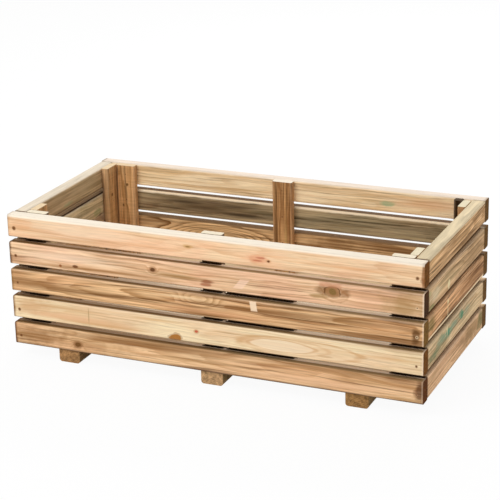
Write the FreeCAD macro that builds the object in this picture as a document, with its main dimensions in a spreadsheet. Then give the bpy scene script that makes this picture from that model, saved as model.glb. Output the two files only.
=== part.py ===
import FreeCAD, Part
import Sketcher
import os

# Slatted wooden planter. Four walls of five level pine boards stand on three bearers,
# with upright battens inside the walls and spaced floor boards between them.
# The frame: +Z up, +X along the length, the long front wall on -Y, and the origin on the
# ground under the middle of the planter. All lengths are in millimetres.

doc = FreeCAD.newDocument("planter")

# Driving dimensions.
sheet = doc.addObject("Spreadsheet::Sheet", "sizes")
DRIVING_SIZES = {
    "overall_length": 900,
    "overall_width": 442,
    # Wall boards, with their long edges rounded over.
    "board_height": 48,
    "board_thickness": 28,
    "board_gap": 11.6,
    "board_round": 4,
    # Upright battens inside the walls.
    "batten_width": 45,
    "batten_thickness": 16,
    "batten_arris": 2,
    "narrow_batten_width": 18,
    "corner_clearance": 1.5,
    "end_batten_clearance": 9,
    # Wide upright backing board beside the front middle batten.
    "backing_width": 145,
    "backing_height": 184,
    "backing_clearance": 8,
    # Bearers under the walls, with rubbed lower corners.
    "bearer_width": 48,
    "bearer_height": 28.5,
    "bearer_setback": 5,
    "bearer_round": 6,
    "left_bearer_inset": 125,
    "right_bearer_inset": 136,
    "middle_bearer_offset": 3,
    # Floor boards laid along the planter on the bearers.
    "floor_board_width": 50,
    "floor_thickness": 18,
    "floor_arris": 2.5,
    "floor_clearance": 3,
    # Round wire nails, punched a little below the surface.
    "nail_diameter": 3,
    "nail_sink": 0.8,
    "corner_nail_length": 62,
    "batten_nail_bite": 20,
    "floor_nail_bite": 18,
    "bearer_nail_bite": 20,
}
for line, (alias, value) in enumerate(DRIVING_SIZES.items(), start=1):
    sheet.set("A%d" % line, alias)
    sheet.set("B%d" % line, str(value))
    sheet.setAlias("B%d" % line, alias)
doc.recompute()

ROWS = 5
FLOOR_BOARDS = 6
CORNER_NAIL_SHARE = 0.4
BATTEN_NAIL_SHARE = 0.58
NAIL_SIDES = 8
ANGLE_TOLERANCE = 0.01

# Places that several pieces share, as rules on the driving dimensions.
HALF_LENGTH = "(sizes.overall_length / 2)"
HALF_WIDTH = "(sizes.overall_width / 2)"
END_LENGTH = "(sizes.overall_width - 2 * sizes.board_thickness)"
FLOOR_TOP = "(sizes.bearer_height + sizes.floor_thickness)"
WALL_TOP = "(sizes.bearer_height + %d * sizes.board_height + %d * sizes.board_gap)" % (ROWS, ROWS - 1)
BATTEN_NAIL_HEIGHT = "(sizes.bearer_height + %g * sizes.board_height)" % BATTEN_NAIL_SHARE
CORNER_NAIL_HEIGHT = "(sizes.bearer_height + %g * sizes.board_height)" % CORNER_NAIL_SHARE
LONG_INSIDE = "(%s - sizes.board_thickness)" % HALF_LENGTH
WIDE_INSIDE = "(%s - sizes.board_thickness)" % HALF_WIDTH


def row_bottom(row):
    """Height of the underside of a board; row 1 is the top one."""
    return "(sizes.bearer_height + %d * (sizes.board_height + sizes.board_gap))" % (ROWS - row)


def rows_span(rows):
    """Height from the lowest of some rows to the highest."""
    return "(%d * (sizes.board_height + sizes.board_gap))" % (rows - 1)


# Each wall: the turn of its frame, and the length of its boards. Seen from outside, a wall's
# own x runs to the right from its left end, y runs inwards from its outer face and z up.
WALL_TURNS = {"front": 0, "right": 90, "back": 180, "left": 270}
WALL_LENGTHS = {
    "front": "sizes.overall_length",
    "right": END_LENGTH,
    "back": "sizes.overall_length",
    "left": END_LENGTH,
}


def new_body(label):
    body = doc.addObject("PartDesign::Body", label)
    body.Label = label
    return body


def move(body, x_rule, y_rule, z_rule, turn=0):
    """Places a body by rules on the sizes, turned about the vertical."""
    upright = FreeCAD.Vector(0, 0, 1)
    body.Placement = FreeCAD.Placement(FreeCAD.Vector(), FreeCAD.Rotation(upright, turn))
    body.setExpression("Placement.Base.x", x_rule)
    body.setExpression("Placement.Base.y", y_rule)
    body.setExpression("Placement.Base.z", z_rule)


def move_in_wall(body, wall, along, inwards, height):
    """Places a body in a wall's own frame."""
    turn = WALL_TURNS[wall]
    start = "(%s - %s / 2)" % (along, WALL_LENGTHS[wall])
    if wall == "front":
        move(body, start, "%s - %s" % (inwards, HALF_WIDTH), height, turn)
    elif wall == "back":
        move(body, "-1 * %s" % start, "%s - %s" % (HALF_WIDTH, inwards), height, turn)
    elif wall == "right":
        move(body, "%s - %s" % (HALF_LENGTH, inwards), start, height, turn)
    else:
        move(body, "%s - %s" % (inwards, HALF_LENGTH), "-1 * %s" % start, height, turn)


def new_sketch(body, name, plane_role, lift="0"):
    """A sketch on one of the body's own planes, lifted along the plane's normal."""
    sketch = body.newObject("Sketcher::SketchObject", name)
    plane = next(part for part in body.Origin.OriginFeatures if part.Role == plane_role)
    sketch.AttachmentSupport = [(plane, "")]
    sketch.MapMode = "FlatFace"
    sketch.setExpression("AttachmentOffset.Base.z", lift)
    return sketch


def bind(sketch, kind, *where, rule):
    """A dimension of a sketch that follows a rule on the sizes."""
    guess = float(sheet.evalExpression(rule))
    number = sketch.addConstraint(Sketcher.Constraint(kind, *where, guess))
    sketch.setExpression("Constraints[%d]" % number, rule)


def draw_rectangle(sketch, width_rule, height_rule):
    """A rectangle with one corner on the sketch's origin."""
    width = float(sheet.evalExpression(width_rule))
    height = float(sheet.evalExpression(height_rule))
    corners = [(0, 0), (width, 0), (width, height), (0, height)]
    points = [FreeCAD.Vector(x, y, 0) for x, y in corners]
    for number in range(len(points)):
        sketch.addGeometry(Part.LineSegment(points[number - 1], points[number]))
    for number in range(len(points)):
        sketch.addConstraint(Sketcher.Constraint("Coincident", number, 2, (number + 1) % len(points), 1))
    sketch.addConstraint(Sketcher.Constraint("Vertical", 0))
    sketch.addConstraint(Sketcher.Constraint("Horizontal", 1))
    sketch.addConstraint(Sketcher.Constraint("Vertical", 2))
    sketch.addConstraint(Sketcher.Constraint("Horizontal", 3))
    sketch.addConstraint(Sketcher.Constraint("Coincident", 0, 2, -1, 1))
    bind(sketch, "DistanceX", 1, 1, 1, 2, rule=width_rule)
    bind(sketch, "DistanceY", 2, 1, 2, 2, rule=height_rule)


def draw_nails(sketch, places):
    """An even-sided nail outline at each place, drawn in a circle of the nail's diameter."""
    radius = float(sheet.evalExpression("sizes.nail_diameter / 2"))
    upright = FreeCAD.Vector(0, 0, 1)
    ties = []
    rules = []
    for across_rule, up_rule in places:
        across = float(sheet.evalExpression(across_rule))
        up = float(sheet.evalExpression(up_rule))
        centre = FreeCAD.Vector(across, up, 0)
        circle = sketch.addGeometry(Part.Circle(centre, upright, radius), True)
        turns = [FreeCAD.Rotation(upright, 360 * number / NAIL_SIDES) for number in range(NAIL_SIDES)]
        corners = [centre + turn.multVec(FreeCAD.Vector(radius, 0, 0)) for turn in turns]
        lines = [Part.LineSegment(corners[number - 1], corners[number]) for number in range(NAIL_SIDES)]
        sides = sketch.addGeometry(lines)
        ties += [Sketcher.Constraint("Coincident", sides[number - 1], 2, sides[number], 1)
                 for number in range(NAIL_SIDES)]
        ties += [Sketcher.Constraint("PointOnObject", side, 2, circle) for side in sides]
        ties += [Sketcher.Constraint("Equal", sides[0], side) for side in sides[1:]]
        ties.append(Sketcher.Constraint("Horizontal", sides[0], 2, circle, 3))
        for kind, where, value, rule in (
            ("Diameter", (circle,), 2 * radius, "sizes.nail_diameter"),
            ("DistanceX", (-1, 1, circle, 3), across, across_rule),
            ("DistanceY", (-1, 1, circle, 3), up, up_rule),
        ):
            rules.append((len(ties), rule))
            ties.append(Sketcher.Constraint(kind, *where, value))
    sketch.addConstraint(ties)
    for number, rule in rules:
        sketch.setExpression("Constraints[%d]" % number, rule)


def extrude(body, sketch, length_rule, back=False):
    pad = body.newObject("PartDesign::Pad", "Stock")
    pad.Profile = sketch
    pad.Reversed = back
    pad.setExpression("Length", length_rule)
    doc.recompute()
    return pad


def finish_edges(body, base, wanted, kind, rule):
    """Rounds or bevels those straight edges of a feature that the test picks out."""
    names = ["Edge%d" % number for number, edge in enumerate(base.Shape.Edges, start=1) if wanted(edge)]
    feature = body.newObject("PartDesign::" + kind, "Edges")
    feature.Base = (base, names)
    feature.setExpression({"Fillet": "Radius", "Chamfer": "Size"}[kind], rule)
    doc.recompute()
    return feature


def runs_along(axis):
    """A test for edges parallel to an axis of the piece."""
    direction = FreeCAD.Vector(*axis)
    return lambda edge: edge.tangentAt(edge.FirstParameter).cross(direction).Length < ANGLE_TOLERANCE


def drill(body, name, plane_role, places, lift="0", depth=None, back=False):
    """Nail holes from a plane of the piece, right through where no depth is given."""
    before = body.Shape.Volume
    sketch = new_sketch(body, name + "_places", plane_role, lift)
    draw_nails(sketch, places)
    pocket = body.newObject("PartDesign::Pocket", name)
    pocket.Profile = sketch
    pocket.Reversed = back
    if depth is None:
        pocket.Type = "ThroughAll"
    else:
        pocket.setExpression("Length", depth)
    doc.recompute()
    if body.Shape.Volume >= before:
        raise RuntimeError("%s cuts nothing in %s" % (name, body.Label))
    return pocket


def repeat(body, feature, axis_role, span_rule, count):
    """Repeats a feature evenly over a span along one of the body's own axes."""
    pattern = body.newObject("PartDesign::LinearPattern", "Repeats")
    pattern.Originals = [feature]
    axis = next(part for part in body.Origin.OriginFeatures if part.Role == axis_role)
    pattern.Direction = (axis, [""])
    pattern.setExpression("Length", span_rule)
    pattern.Occurrences = count
    body.Tip = pattern
    doc.recompute()


# Where the battens stand along each wall, from the wall's left end seen from outside, with
# their widths. The front ones fill the corners, and the end walls' battens stand beside them.
# At the back the end walls' battens fill the corners, and the strip at the right is narrow.
FRONT_CORNER = "(sizes.board_thickness + sizes.corner_clearance + sizes.batten_width / 2)"
BACK_CORNER = "(sizes.board_thickness + sizes.batten_thickness + sizes.corner_clearance + %s / 2)"
END_FRONT = "(sizes.batten_thickness + sizes.corner_clearance + sizes.batten_width / 2)"
END_BACK = "(sizes.end_batten_clearance + sizes.batten_width / 2)"
BATTENS = {
    "front": {
        "left": (FRONT_CORNER, "sizes.batten_width"),
        "middle": (HALF_LENGTH, "sizes.batten_width"),
        "right": ("(sizes.overall_length - %s)" % FRONT_CORNER, "sizes.batten_width"),
    },
    "back": {
        "right": (BACK_CORNER % "sizes.narrow_batten_width", "sizes.narrow_batten_width"),
        "middle": (HALF_LENGTH, "sizes.batten_width"),
        "left": ("(sizes.overall_length - %s)" % (BACK_CORNER % "sizes.batten_width"), "sizes.batten_width"),
    },
    "right": {
        "front": (END_FRONT, "sizes.batten_width"),
        "back": ("(%s - %s)" % (END_LENGTH, END_BACK), "sizes.batten_width"),
    },
    "left": {
        "back": (END_BACK, "sizes.batten_width"),
        "front": ("(%s - %s)" % (END_LENGTH, END_FRONT), "sizes.batten_width"),
    },
}

# The backing board stands just past the front middle batten and is nailed to the lower rows.
BACKING_START = "(%s + sizes.batten_width / 2 + sizes.backing_clearance)" % HALF_LENGTH
BACKING_MIDDLE = "(%s + sizes.backing_width / 2)" % BACKING_START
BACKING_ROWS = 3

# The bearers stand near the two ends, each with its own inset, and just past the middle.
BEARER_PLACES = {
    "left": "sizes.left_bearer_inset",
    "middle": "(%s + sizes.middle_bearer_offset)" % HALF_LENGTH,
    "right": "(sizes.overall_length - sizes.right_bearer_inset)",
}


def make_board(wall, row):
    """One wall board: a rounded length of timber, drilled where its nails go."""
    body = new_body("%s_board_%d" % (wall, row))
    length = WALL_LENGTHS[wall]
    section = new_sketch(body, "section", "YZ_Plane")
    draw_rectangle(section, "sizes.board_thickness", "sizes.board_height")
    stock = extrude(body, section, length)
    finish_edges(body, stock, runs_along((1, 0, 0)), "Fillet", "sizes.board_round")
    mid_thickness = "(sizes.board_thickness / 2)"
    corner_height = "(%g * sizes.board_height)" % CORNER_NAIL_SHARE
    batten_height = "(%g * sizes.board_height)" % BATTEN_NAIL_SHARE
    inner_places = [(along, batten_height) for along, width in BATTENS[wall].values()]
    if wall == "front" and row > ROWS - BACKING_ROWS:
        inner_places.append((BACKING_MIDDLE, batten_height))
    drill(body, "batten_nail_holes", "XZ_Plane", inner_places, "-1 * sizes.board_thickness",
          "sizes.batten_nail_bite", back=True)
    if wall in ("front", "back"):
        ends = [mid_thickness, "(%s - sizes.board_thickness / 2)" % length]
        drill(body, "corner_nail_holes", "XZ_Plane", [(along, corner_height) for along in ends])
        if row == ROWS:
            bearers = BEARER_PLACES.values()
            if wall == "back":
                bearers = ["(%s - %s)" % (length, place) for place in bearers]
            drill(body, "bearer_nail_holes", "XY_Plane", [(place, mid_thickness) for place in bearers],
                  depth="sizes.bearer_nail_bite", back=True)
    else:
        bite = "(sizes.corner_nail_length + sizes.nail_sink - sizes.board_thickness)"
        end_place = [(mid_thickness, corner_height)]
        drill(body, "left_end_hole", "YZ_Plane", end_place, depth=bite, back=True)
        drill(body, "right_end_hole", "YZ_Plane", end_place, length, bite)
    move_in_wall(body, wall, "0", "0", row_bottom(row))
    return body


def make_batten(wall, side):
    """One upright batten, nailed from inside to every board of its wall."""
    body = new_body("%s_wall_%s_batten" % (wall, side))
    along, width = BATTENS[wall][side]
    section = new_sketch(body, "section", "XY_Plane")
    draw_rectangle(section, width, "sizes.batten_thickness")
    stock = extrude(body, section, "%s - %s" % (WALL_TOP, FLOOR_TOP))
    finish_edges(body, stock, runs_along((0, 0, 1)), "Chamfer", "sizes.batten_arris")
    lowest = ("(%s / 2)" % width, "(%s - %s)" % (BATTEN_NAIL_HEIGHT, FLOOR_TOP))
    holes = drill(body, "nail_holes", "XZ_Plane", [lowest])
    repeat(body, holes, "Z_Axis", rows_span(ROWS), ROWS)
    move_in_wall(body, wall, "(%s - %s / 2)" % (along, width), "sizes.board_thickness", FLOOR_TOP)
    return body


def make_backing():
    """The wide backing board behind the front wall's lower rows."""
    body = new_body("front_backing_board")
    section = new_sketch(body, "section", "XY_Plane")
    draw_rectangle(section, "sizes.backing_width", "sizes.batten_thickness")
    stock = extrude(body, section, "sizes.backing_height")
    finish_edges(body, stock, runs_along((0, 0, 1)), "Chamfer", "sizes.batten_arris")
    lowest = ("(sizes.backing_width / 2)", "(%s - %s)" % (BATTEN_NAIL_HEIGHT, FLOOR_TOP))
    holes = drill(body, "nail_holes", "XZ_Plane", [lowest])
    repeat(body, holes, "Z_Axis", rows_span(BACKING_ROWS), BACKING_ROWS)
    move_in_wall(body, "front", BACKING_START, "sizes.board_thickness", FLOOR_TOP)
    return body


# Floor boards lie the length of the inside, spread evenly over its width.
FLOOR_SPAN = "(2 * %s - 2 * sizes.floor_clearance - sizes.floor_board_width)" % WIDE_INSIDE


def floor_middle(number):
    """Place across the planter of a floor board's centre line; 1 is at the front."""
    share = (number - 1) / (FLOOR_BOARDS - 1)
    return "(%.6f * %s - %s / 2)" % (share, FLOOR_SPAN, FLOOR_SPAN)


def make_floor_board(number):
    """One floor board, nailed down to each bearer."""
    body = new_body("floor_board_%d" % number)
    section = new_sketch(body, "section", "YZ_Plane")
    draw_rectangle(section, "sizes.floor_board_width", "sizes.floor_thickness")
    stock = extrude(body, section, "2 * (%s - sizes.floor_clearance)" % LONG_INSIDE)
    finish_edges(body, stock, runs_along((1, 0, 0)), "Chamfer", "sizes.floor_arris")
    inset = "(sizes.board_thickness + sizes.floor_clearance)"
    places = [("(%s - %s)" % (along, inset), "(sizes.floor_board_width / 2)") for along in BEARER_PLACES.values()]
    drill(body, "nail_holes", "XY_Plane", places, back=True)
    move(body, "sizes.floor_clearance - %s" % LONG_INSIDE,
         "%s - sizes.floor_board_width / 2" % floor_middle(number), "sizes.bearer_height")
    return body


def make_bearer(side):
    """One bearer, running from front to back under the floor and both long walls."""
    body = new_body("%s_bearer" % side)
    section = new_sketch(body, "section", "XZ_Plane")
    draw_rectangle(section, "sizes.bearer_width", "sizes.bearer_height")
    length = "(sizes.overall_width - 2 * sizes.bearer_setback)"
    stock = extrude(body, section, length, back=True)
    lower = runs_along((0, 1, 0))
    finish_edges(body, stock, lambda edge: lower(edge) and edge.CenterOfMass.z < stock.Shape.CenterOfMass.z,
                 "Fillet", "sizes.bearer_round")
    middle = "(sizes.bearer_width / 2)"
    first_place = (middle, "(%s + %s / 2)" % (floor_middle(1), length))
    holes = drill(body, "floor_nail_holes", "XY_Plane", [first_place], "sizes.bearer_height",
                  "sizes.floor_nail_bite")
    repeat(body, holes, "Y_Axis", FLOOR_SPAN, FLOOR_BOARDS)
    wall_inset = "(sizes.board_thickness / 2 - sizes.bearer_setback)"
    wall_places = [(middle, wall_inset), (middle, "(%s - %s)" % (length, wall_inset))]
    drill(body, "wall_nail_holes", "XY_Plane", wall_places, back=True)
    move(body, "%s - %s - %s" % (BEARER_PLACES[side], HALF_LENGTH, middle),
         "sizes.bearer_setback - %s" % HALF_WIDTH, "0")
    return body


def add_nails(body, plane_role, places, length, axis_role, span_rule, count):
    """Adds nails square to a plane at some places, repeated along an axis."""
    sketch = new_sketch(body, "nail_places", plane_role)
    draw_nails(sketch, places)
    nails = extrude(body, sketch, length)
    repeat(body, nails, axis_role, span_rule, count)


def make_batten_nails(wall):
    """The nails that hold a wall's battens, driven from inside the planter."""
    body = new_body("%s_batten_nails" % wall)
    length = "(sizes.batten_nail_bite + sizes.batten_thickness - sizes.nail_sink)"
    lowest = [(along, BATTEN_NAIL_HEIGHT) for along, width in BATTENS[wall].values()]
    add_nails(body, "XZ_Plane", lowest, length, "Z_Axis", rows_span(ROWS), ROWS)
    if wall == "front":
        lowest = [(BACKING_MIDDLE, BATTEN_NAIL_HEIGHT)]
        add_nails(body, "XZ_Plane", lowest, length, "Z_Axis", rows_span(BACKING_ROWS), BACKING_ROWS)
    move_in_wall(body, wall, "0", "(sizes.board_thickness + sizes.batten_thickness - sizes.nail_sink)", "0")
    return body


def make_corner_nails(wall):
    """The nails through a long wall's board ends into the end grain of the end walls."""
    body = new_body("%s_corner_nails" % wall)
    ends = ["(sizes.board_thickness / 2)", "(sizes.overall_length - sizes.board_thickness / 2)"]
    lowest = [(along, CORNER_NAIL_HEIGHT) for along in ends]
    add_nails(body, "XZ_Plane", lowest, "sizes.corner_nail_length", "Z_Axis", rows_span(ROWS), ROWS)
    move_in_wall(body, wall, "0", "(sizes.corner_nail_length + sizes.nail_sink)", "0")
    return body


def make_floor_nails():
    """The nails down through the floor boards into the bearers."""
    body = new_body("floor_nails")
    first = [(along, "(%s + %s)" % (floor_middle(1), HALF_WIDTH)) for along in BEARER_PLACES.values()]
    length = "(sizes.floor_nail_bite + sizes.floor_thickness - sizes.nail_sink)"
    add_nails(body, "XY_Plane", first, length, "Y_Axis", FLOOR_SPAN, FLOOR_BOARDS)
    move(body, "-1 * %s" % HALF_LENGTH, "-1 * %s" % HALF_WIDTH, "sizes.bearer_height - sizes.floor_nail_bite")
    return body


def make_bearer_nails():
    """The nails up through the bearers into the lowest boards of the long walls."""
    body = new_body("bearer_nails")
    front = [(along, "(sizes.board_thickness / 2)") for along in BEARER_PLACES.values()]
    length = "(sizes.bearer_height + sizes.bearer_nail_bite - sizes.nail_sink)"
    add_nails(body, "XY_Plane", front, length, "Y_Axis", "(sizes.overall_width - sizes.board_thickness)", 2)
    move(body, "-1 * %s" % HALF_LENGTH, "-1 * %s" % HALF_WIDTH, "sizes.nail_sink")
    return body


pieces = [make_bearer(side) for side in BEARER_PLACES]
pieces += [make_floor_board(number) for number in range(1, FLOOR_BOARDS + 1)]
for wall_name in WALL_TURNS:
    pieces += [make_board(wall_name, row) for row in range(1, ROWS + 1)]
    pieces += [make_batten(wall_name, side) for side in BATTENS[wall_name]]
    pieces.append(make_batten_nails(wall_name))
pieces.append(make_backing())
pieces += [make_corner_nails("front"), make_corner_nails("back"), make_floor_nails(), make_bearer_nails()]
doc.recompute()

# Every feature must have built, and every piece must be sound, before anything is written.
for feature in doc.Objects:
    if "Invalid" in feature.State or "Error" in feature.State:
        raise RuntimeError("%s failed: %s" % (feature.Name, feature.State))
for piece in pieces:
    if piece.Shape.isNull() or not piece.Shape.isValid():
        raise RuntimeError("%s has no sound shape" % piece.Label)

os.makedirs("parts", exist_ok=True)
for piece in pieces:
    piece.Shape.exportStep("parts/%s.step" % piece.Label)
print(len(pieces), "pieces written")
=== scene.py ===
import math

import bpy
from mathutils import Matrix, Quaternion, Vector


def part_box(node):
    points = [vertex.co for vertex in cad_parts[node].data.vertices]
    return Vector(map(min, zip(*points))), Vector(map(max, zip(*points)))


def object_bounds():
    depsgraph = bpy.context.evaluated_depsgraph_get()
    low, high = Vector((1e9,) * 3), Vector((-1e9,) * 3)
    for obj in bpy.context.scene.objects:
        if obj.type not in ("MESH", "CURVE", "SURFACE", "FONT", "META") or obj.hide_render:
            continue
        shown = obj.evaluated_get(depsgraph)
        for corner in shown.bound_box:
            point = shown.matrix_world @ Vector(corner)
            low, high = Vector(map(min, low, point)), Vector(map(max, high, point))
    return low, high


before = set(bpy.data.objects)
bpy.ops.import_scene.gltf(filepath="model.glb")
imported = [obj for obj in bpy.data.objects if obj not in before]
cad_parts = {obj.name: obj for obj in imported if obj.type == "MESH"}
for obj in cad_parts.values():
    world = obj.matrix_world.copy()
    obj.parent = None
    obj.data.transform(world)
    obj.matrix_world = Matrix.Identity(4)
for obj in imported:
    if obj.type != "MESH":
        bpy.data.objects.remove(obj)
cad_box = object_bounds()

# Bearers
# Three short lengths of sawn pine that lie on the ground from front to back and carry the walls and the
# floor, nailed up into the lowest long boards. Their sawn ends show under the front wall, brown with dirt.


def linear(code):
    """A hex sRGB colour as linear red, green, blue and alpha."""
    parts = [int(code[place:place + 2], 16) / 255 for place in (1, 3, 5)]
    return [part / 12.92 if part <= 0.04045 else ((part + 0.055) / 1.055) ** 2.4 for part in parts] + [1.0]


def add(tree, kind, inputs, **settings):
    """Adds a shader node with its settings, and its inputs set to values or linked to other nodes.
    MapRange reads 0 between 1 and 2 and gives 3 to 4. A colour Mix lays the share 0 of 7 over 6."""
    made = tree.nodes.new("ShaderNode" + kind)
    for setting, value in settings.items():
        setattr(made, setting, value)
    for key, value in inputs.items():
        if isinstance(value, bpy.types.Node):
            value = next(socket for socket in value.outputs if socket.enabled)
        if isinstance(value, bpy.types.NodeSocket):
            tree.links.new(value, made.inputs[key])
        else:
            made.inputs[key].default_value = value
    return made


# What a piece of pine can show besides its early and late wood, with the values of a plain one. Lengths
# are millimetres, and places are measured from the middle of the piece: along the grain, across the face
# and through the thickness. Shares run from 0 to 1.
PLAIN_PINE = dict(
    ring=4.0,  # growth of one year
    pith=(0, -80),  # middle of the log, across and through
    slope=(0, 0),  # how far the grain leans, across and through
    depth=0.6,  # share of the late wood
    streak="#B07A4A", streaks=0.3,  # broad streaks and their share
    line="#8A5A30", lines=0.3, contrast=0.12,  # thin lines, their share and how far they shade the wood
    tint="#E8B890", tints=0.3,  # soft clouds and their share
    sawn=0.0,  # how far saw marks shade the wood
    swells=(),  # bulges of the log under the face: along, across, length, height, lift
    knots=(),  # along, across, radius, colour
    marks=(),  # soft stains, some of them painted shade: along, across, length, height, colour, share
    ovals=(),  # eyes and flames: along, across, length, height, colour, share, rim, share of the rim
    patches=(),  # places with sharp sides: along, across, length, height, lean, colour, share
    edge="#FBE3C8", edges=(0.2, 0.2),  # long arrises, paled by rubbing and by painted highlight, and the shares of the lower and the upper
    shelf=(),  # top that shows in a gap, painted with light and shade: its near side, -1 or 1, and steps of depth and colour
    stained=(),  # stretches of that top, painted lit or shaded: start, stop, fade, depth, colour
    sole=0.0,  # share of the painted shade along the lower arris
    crown="#E6DCCB", shoulder="#E6DCCB",  # top and its rounding, painted pale for the light on them
    crowned=0.0, hang=1.5,  # share of the painted light on the top, and how far it hangs down the face
    end="#5A3C1A", mottled=0.3,  # sawn ends, and how blotchy they are
    soil=(0.5, 0.5), pale=(0.0, 0.0),  # shares of dirt with painted shade, and of paler wood, beside the two ends
)

# Sizes of the wood's uneven patterns, along, across and through, in millimetres, and their detail. Real
# fibres are finer than 1.1 mm and are drawn that wide so that they show.
PATTERNS = {
    "wave": ((420, 60, 60), 2),
    "ripple": ((70, 8, 8), 2),
    "patch": ((140, 40, 40), 2),
    "saw": ((2.4, 70, 70), 2),
    "grime": ((24, 16, 16), 4),
    "band": ((300, 11, 30), 3),
    "line": ((190, 3.4, 12), 4),
    "fibre": ((36, 1.1, 1.1), 3),
}
NEXT_PIECE = (173.0, 59.0, 31.0)  # step through the patterns from one piece to the next
STREAK_SWAY, STREAK_QUIVER = 26.0, 5.0  # how far streaks wander across the face in long and short waves
RING_SWAY, RING_QUIVER = 40.0, 4.0  # how far rings do
KNOT_STRETCH = 4 / 3  # a knot's length for its height
LONG_STAIN = 60  # past this length a stain fades softly
FLAME = 80  # past this length an oval is a flame, and no eye of a knot
OVAL_RIM = 1.14  # reach of the dark rim of an oval
STEP_BLUR = 1.5  # half the width in which a ledge changes colour
RELIEF = 0.7  # height of the grain
MILLIMETRES = 1000.0  # in a metre
# Dark brown used as painted shade: along the lower arrises and on the gap tops before the uprights
DAMP_DIRT = "#2E1E10"


def lay_out(tree, node, axes, seed):
    """Places along, across and through a piece, and the uneven patterns that its wood is drawn from."""
    low, high = (Vector(corner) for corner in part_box(node))
    middle = (low + high) / 2
    place = add(tree, "TexCoord", {})
    centred = add(tree, "VectorMath", {0: place.outputs["Object"], 1: middle}, operation="SUBTRACT")
    scaled = add(tree, "VectorMath", {0: centred, "Scale": MILLIMETRES}, operation="SCALE")
    parts = add(tree, "SeparateXYZ", {0: scaled})
    face = {way: parts.outputs[axis] for way, axis in zip(("along", "across", "through"), axes)}
    face["half"] = [(high - low)["XYZ".index(axis)] * MILLIMETRES / 2 for axis in axes]
    face["grain"] = add(tree, "CombineXYZ", {0: face["along"], 1: face["across"], 2: face["through"]})
    shift = [step * seed for step in NEXT_PIECE]
    moved = add(tree, "VectorMath", {0: face["grain"], 1: shift}, operation="ADD")
    for pattern, (size, detail) in PATTERNS.items():
        if pattern == "band":
            # From here on the patterns sway across the face, as the grain does
            sway = add(tree, "Math", {0: face["ripple"], 1: STREAK_QUIVER}, operation="MULTIPLY")
            sway = add(tree, "Math", {0: face["wave"], 1: STREAK_SWAY, 2: sway}, operation="MULTIPLY_ADD")
            aside = add(tree, "CombineXYZ", {1: sway})
            moved = add(tree, "VectorMath", {0: moved, 1: aside}, operation="ADD")
        scale = [1 / length for length in size]
        fitted = add(tree, "VectorMath", {0: moved, 1: scale}, operation="MULTIPLY")
        face[pattern] = add(tree, "TexNoise", {"Vector": fitted, "Scale": 1.0, "Detail": detail})
    return face


def from_oval(tree, face, along, across, length, height):
    """How far a point of the face lies from the middle of an oval: 0 there and 1 on its rim."""
    apart = add(tree, "VectorMath", {0: face["grain"], 1: (along, across, 0)}, operation="SUBTRACT")
    fitted = add(tree, "VectorMath", {0: apart, 1: (2 / length, 2 / height, 0)}, operation="MULTIPLY")
    return add(tree, "VectorMath", {0: fitted}, operation="LENGTH")


def grow(tree, face, wood):
    """Rings about the pith of the log, lifted where the cut skims a bulge or passes a knot. They darken
    towards the end of each year. Gives their share of late wood, and the reach of each knot."""
    slope, depth = wood["slope"], wood["depth"]
    lean = add(tree, "VectorMath", {0: (0, -slope[0], -slope[1]), "Scale": face["along"]},
               operation="SCALE")
    leaned = add(tree, "VectorMath", {0: face["grain"], 1: lean}, operation="ADD")
    offset = add(tree, "VectorMath", {0: leaned, 1: (0, *wood["pith"])}, operation="SUBTRACT")
    section = add(tree, "VectorMath", {0: offset, 1: (0, 1, 1)}, operation="MULTIPLY")
    radius = add(tree, "VectorMath", {0: section}, operation="LENGTH")
    radius = add(tree, "Math", {0: face["wave"], 1: RING_SWAY, 2: radius}, operation="MULTIPLY_ADD")
    radius = add(tree, "Math", {0: face["ripple"], 1: RING_QUIVER, 2: radius}, operation="MULTIPLY_ADD")
    for along, across, length, height, rise in wood["swells"]:
        reach = from_oval(tree, face, along, across, length, height)
        lift = add(tree, "MapRange", {0: reach, 1: 0.0, 2: 1.5, 3: rise, 4: 0.0},
                   interpolation_type="SMOOTHSTEP")
        radius = add(tree, "Math", {0: radius, 1: lift}, operation="ADD")
    knots = []
    for along, across, size, shade in wood["knots"]:
        # An oval 2 mm high, so that the reach is millimetres across the grain
        reach = from_oval(tree, face, along, across, 2 * KNOT_STRETCH, 2)
        reach = add(tree, "Math", {0: face["grime"], 1: 0.9 * size, 2: reach}, operation="MULTIPLY_ADD")
        lift = add(tree, "MapRange", {0: reach, 1: 0.0, 2: 3.8 * size, 3: 2.0 * size, 4: 0.0},
                   interpolation_type="SMOOTHERSTEP")
        radius = add(tree, "Math", {0: radius, 1: lift}, operation="ADD")
        knots.append((reach, size, shade))
    turns = add(tree, "Math", {0: radius, 1: wood["ring"]}, operation="DIVIDE")
    within = add(tree, "Math", {0: turns}, operation="FRACT")
    number = add(tree, "Math", {0: turns}, operation="FLOOR")
    year = add(tree, "TexWhiteNoise", {"W": number}, noise_dimensions="1D")
    summer = add(tree, "MapRange", {0: within, 1: 0.25, 2: 0.9, 3: 0.0, 4: 1.0},
                 interpolation_type="SMOOTHSTEP")
    winter = add(tree, "MapRange", {0: within, 1: 0.92, 2: 1.0, 3: 1.0, 4: 0.0},
                 interpolation_type="SMOOTHSTEP")
    late_wood = add(tree, "Math", {0: summer, 1: winter}, operation="MULTIPLY")
    force = add(tree, "MapRange", {0: year.outputs["Value"], 1: 0.0, 2: 1.0, 3: 0.3 * depth, 4: depth})
    return add(tree, "Math", {0: late_wood, 1: force}, operation="MULTIPLY"), knots


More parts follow.
